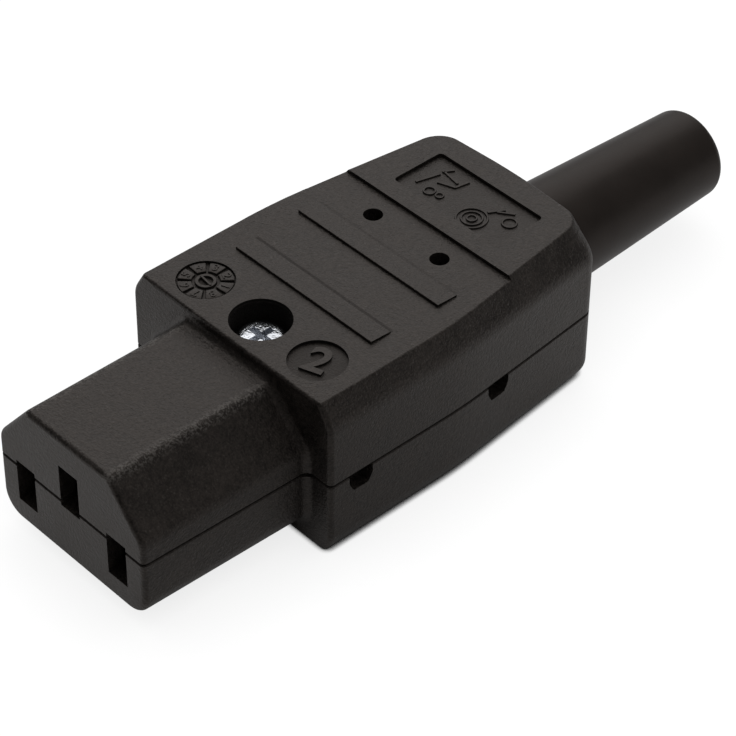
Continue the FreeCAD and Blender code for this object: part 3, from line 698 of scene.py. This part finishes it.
class CONNECTOR_OT_dial(bpy.types.Operator):
    """Raise a plain numbered dial in the left round recess"""
    bl_idname = "connector.dial"
    bl_label = "Dial"

    def execute(self, context):
        settings = context.scene.connector_marks
        centre = Vector((-mark_x, mark_y, 0))
        low = mark_floor - sink
        high = mark_floor + settings.height
        top = high + settings.number_rise
        inner = settings.hub + settings.groove
        middle = (inner + settings.radius) / 2
        step = 2 * math.pi / settings.divisions
        angles = [step * (index + 0.5) for index in range(settings.divisions)]
        work = bmesh.new()
        for angle in angles:
            lobe(work, centre, inner, settings.radius, angle, step - settings.groove / middle,
                 low, high, settings.groove * lobe_rounding)
        ring(work, centre, settings.hub * hub_hole, settings.hub, low, high, settings.groove * hub_slope,
             hub_steps)
        bar(work, centre, settings.hub * pointer_length, settings.line, settings.pointer_turn,
            low, top, settings.line * line_slope)
        for number, angle in enumerate(angles, 1):
            spot = centre + Vector((math.cos(angle), math.sin(angle), 0)) * middle
            numeral(work, str(number), spot, settings.numeral_height, angle - math.pi / 2,
                    low, top, figure_stroke)
        outward(work)
        show(work, "dial_relief", mark_finish(context))
        return {"FINISHED"}


class CONNECTOR_OT_number_mark(bpy.types.Operator):
    """Raise a plain number in the right round recess"""
    bl_idname = "connector.number_mark"
    bl_label = "Number mark"

    def execute(self, context):
        settings = context.scene.connector_marks
        work = bmesh.new()
        numeral(work, "2", Vector((mark_x, mark_y, 0)), settings.radius * number_share,
                settings.number_turn, mark_floor - sink, mark_floor + settings.height, number_stroke)
        outward(work)
        show(work, "number_relief", mark_finish(context))
        return {"FINISHED"}


# Place across and behind the label's front, length in millimetres and turn in degrees of each bar
label_bars = (
    (-5.6, 3.1, 3.0, 75), (-4.0, 4.9, 2.6, -10), (-3.4, 3.7, 2.2, 20), (-5.0, 5.5, 1.4, 60),
    (-2.3, 4.9, 1.8, 80), (3.3, 4.4, 2.0, 60), (4.2, 4.9, 2.0, 35),
)
# Place across and behind the label's front and outer radius of each ring, in millimetres
label_rings = (
    (-3.9, 1.7, 0.75), (-2.6, 1.9, 0.55), (2.4, 1.7, 0.65), (2.4, 1.7, 1.25), (2.4, 1.7, 1.8),
    (5.6, 4.0, 0.9),
)
label_height_share = 0.6
ring_width_share = 0.8


class CONNECTOR_OT_label_marks(bpy.types.Operator):
    """Raise plain bars and rings in the label field"""
    bl_idname = "connector.label_marks"
    bl_label = "Label marks"

    def execute(self, context):
        settings = context.scene.connector_marks
        low = label_floor - sink
        high = label_floor + settings.height * label_height_share
        slope = settings.line * line_slope
        work = bmesh.new()
        for across, back, length, turn in label_bars:
            spot = Vector((across * MM, label_front_y + back * MM, 0))
            bar(work, spot, length * MM, settings.line, math.radians(turn), low, high, slope)
        for across, back, radius in label_rings:
            spot = Vector((across * MM, label_front_y + back * MM, 0))
            ring(work, spot, radius * MM - settings.line * ring_width_share, radius * MM, low, high, slope,
                 ring_steps)
        outward(work)
        show(work, "label_relief", mark_finish(context))
        return {"FINISHED"}


class CONNECTOR_OT_sleeve(bpy.types.Operator):
    """Dress the bend sleeve"""
    bl_idname = "connector.sleeve"
    bl_label = "Bend sleeve"

    def execute(self, context):
        dressed("bend_sleeve", sleeve_finish(context.scene.connector_sleeve))
        return {"FINISHED"}


class CONNECTOR_OT_metal(bpy.types.Operator):
    """Give the screws, nuts, plates and contacts their plated finish"""
    bl_idname = "connector.metal"
    bl_label = "Metal parts"

    def execute(self, context):
        settings = context.scene.connector_metal
        finishes = {
            "zinc_steel": metal_finish("zinc_plate", settings.zinc_colour, settings.zinc_roughness,
                                       settings.zinc_grain, settings.zinc_depth),
            "brass": metal_finish("plain_brass", settings.brass_colour, settings.brass_roughness,
                                  settings.strip_grain, settings.strip_depth),
            "tinned_brass": metal_finish("tin_plate", settings.tin_colour, settings.tin_roughness,
                                         settings.strip_grain, settings.strip_depth),
        }
        slots = {part["node"]: part["material_slot"] for part in frame["record"]["subparts"]}
        for node, slot in slots.items():
            if slot in finishes:
                piece = frame["nodes"][node]
                piece.data.materials.clear()
                piece.data.materials.append(finishes[slot])
        return {"FINISHED"}


# Half the floor's side, and its plain finish
floor_half = 2.0
floor_colour = (0.9, 0.9, 0.9)
floor_roughness = 0.9

# Openness of the floor where each shade under the part is full and where it is gone
contact_shade = (0.3, 0.8)
under_shade = (0.2, 0.9)
under_reach = 4                 # as a multiple of the contact shadow's reach
openness_samples = 8

# Where the dim sheen beside the part starts and is full, to the right and towards the front
beside_right = (5 * MM, 20 * MM)
beside_front = (70 * MM, 25 * MM)

# Where the sky's dim front is full and where it is gone, along Y, which is -1 straight in front
front_range = (-0.7, -0.1)

sensor_width = 36
near_clip = 10 * MM


class CONNECTOR_OT_stage(bpy.types.Operator):
    """Set up the pale floor, the soft lights and the camera"""
    bl_idname = "connector.stage"
    bl_label = "Stage"

    def execute(self, context):
        settings = context.scene.connector_stage
        scene = context.scene
        self.camera(scene, settings)
        self.floor(settings)
        self.world(scene, settings)
        self.softbox(scene, settings)
        scene.view_settings.view_transform = "Standard"
        return {"FINISHED"}

    def camera(self, scene, settings):
        """The picture's camera, which looks at the aim."""
        camera = bpy.data.objects.new("camera", bpy.data.cameras.new("camera"))
        scene.collection.objects.link(camera)
        level = math.cos(settings.elevation)
        back = Vector((math.sin(settings.azimuth) * level, -math.cos(settings.azimuth) * level,
                       math.sin(settings.elevation)))
        look = (-back).to_track_quat("-Z", "Y").to_matrix()
        turn = look @ Matrix.Rotation(settings.roll, 3, "Z")
        camera.location = Vector(settings.aim) + back * settings.distance
        camera.rotation_euler = turn.to_euler()
        camera.data.lens = settings.lens
        camera.data.sensor_width = sensor_width
        camera.data.clip_start = near_clip
        scene.camera = camera

    def floor(self, settings):
        """A pale floor that keeps a faint shadow and looks white in the picture and in gloss."""
        work = bmesh.new()
        bmesh.ops.create_grid(work, x_segments=1, y_segments=1, size=floor_half,
                              matrix=Matrix.Translation((0, 0, cad_box[0].z)))
        mesh = bpy.data.meshes.new("floor")
        work.to_mesh(mesh)
        work.free()
        piece = bpy.data.objects.new("floor", mesh)
        bpy.context.scene.collection.objects.link(piece)
        finish = Finish("pale_floor", floor_colour, floor_roughness, specular=0.0)
        seen = finish.ray("Is Camera Ray")
        mirrored = finish.ray("Is Glossy Ray")
        line = finish.spread(self.openness(finish, settings.contact), *contact_shade)
        halo = 1 - settings.halo * (1 - self.openness(finish, settings.halo_reach))
        under = finish.spread(self.openness(finish, settings.contact * under_reach), *under_shade)
        beside = finish.spread(finish.along("X"), *beside_right)
        beside = beside * finish.spread(finish.along("Y"), *beside_front)
        sheen = settings.floor_light - (settings.floor_light - settings.floor_dim) * beside
        light = seen * line * halo * settings.white + mirrored * sheen * under
        glow = finish.add("ShaderNodeEmission", {}, {"Color": WHITE, "Strength": light})
        share = seen * (1 - settings.shadow) + mirrored * settings.floor_share
        lit = Field(finish, finish.shader.outputs["BSDF"])
        mixed = finish.add("ShaderNodeMixShader", {}, {0: share, 1: lit, 2: glow})
        finish.place(mixed, finish.tree.nodes["Material Output"].inputs["Surface"])
        mesh.materials.append(finish.material)

    def openness(self, finish, reach):
        """1 on the open floor, less where something stands within reach."""
        return finish.add("ShaderNodeAmbientOcclusion", {"samples": openness_samples},
                          {"Distance": reach}, "AO")

    def world(self, scene, settings):
        """Soft light from above and behind, dim at the horizon and in front, and white in the picture."""
        world = bpy.data.worlds.new("studio")
        world.use_nodes = True
        scene.world = world
        sky = Nodes(world.node_tree)
        rise = sky.spread(sky.along("Z", "Generated"), settings.sky_start, 1.0)
        rear = sky.spread(sky.along("Y", "Generated"), *front_range)
        above = settings.horizon + (settings.ambient - settings.horizon) * rise
        light = above * (settings.front_dim + (1 - settings.front_dim) * rear)
        seen = sky.ray("Is Camera Ray")
        background = world.node_tree.nodes["Background"]
        sky.place(WHITE, background.inputs["Color"])
        sky.place(seen + (1 - seen) * light, background.inputs["Strength"])

    def softbox(self, scene, settings):
        """The large soft light, behind the part on the left."""
        light = bpy.data.lights.new("key_light", "AREA")
        light.size = settings.key_size
        light.energy = settings.key
        lamp = bpy.data.objects.new("key_light", light)
        lamp.location = Vector(settings.aim) + Vector(settings.key_place)
        lamp.rotation_euler = (-Vector(settings.key_place)).to_track_quat("-Z", "Y").to_euler()
        scene.collection.objects.link(lamp)


class CONNECTOR_PT_panel(bpy.types.Panel):
    """Lists the steps that dress the connector"""
    bl_label = "Connector"
    bl_idname = "CONNECTOR_PT_panel"
    bl_space_type = "VIEW_3D"
    bl_region_type = "UI"
    bl_category = "Connector"

    def draw(self, context):
        for step in STEPS:
            self.layout.operator(step.bl_idname)


SETTINGS = {
    "connector_shells": ShellSettings,
    "connector_marks": MarkSettings,
    "connector_sleeve": SleeveSettings,
    "connector_metal": MetalSettings,
    "connector_stage": StageSettings,
}
STEPS = (
    CONNECTOR_OT_stage,
    CONNECTOR_OT_shells,
    CONNECTOR_OT_dial,
    CONNECTOR_OT_number_mark,
    CONNECTOR_OT_label_marks,
    CONNECTOR_OT_sleeve,
    CONNECTOR_OT_metal,
)


def register():
    for group in SETTINGS.values():
        bpy.utils.register_class(group)
    for step in STEPS:
        bpy.utils.register_class(step)
    bpy.utils.register_class(CONNECTOR_PT_panel)
    for name, group in SETTINGS.items():
        setattr(bpy.types.Scene, name, bpy.props.PointerProperty(type=group))


def unregister():
    for name in SETTINGS:
        delattr(bpy.types.Scene, name)
    bpy.utils.unregister_class(CONNECTOR_PT_panel)
    for step in reversed(STEPS):
        bpy.utils.unregister_class(step)
    for group in reversed(SETTINGS.values()):
        bpy.utils.unregister_class(group)


def main():
    register()
    for step in STEPS:
        group, name = step.bl_idname.split(".")
        getattr(getattr(bpy.ops, group), name)()


if __name__ == "__main__":
    main()
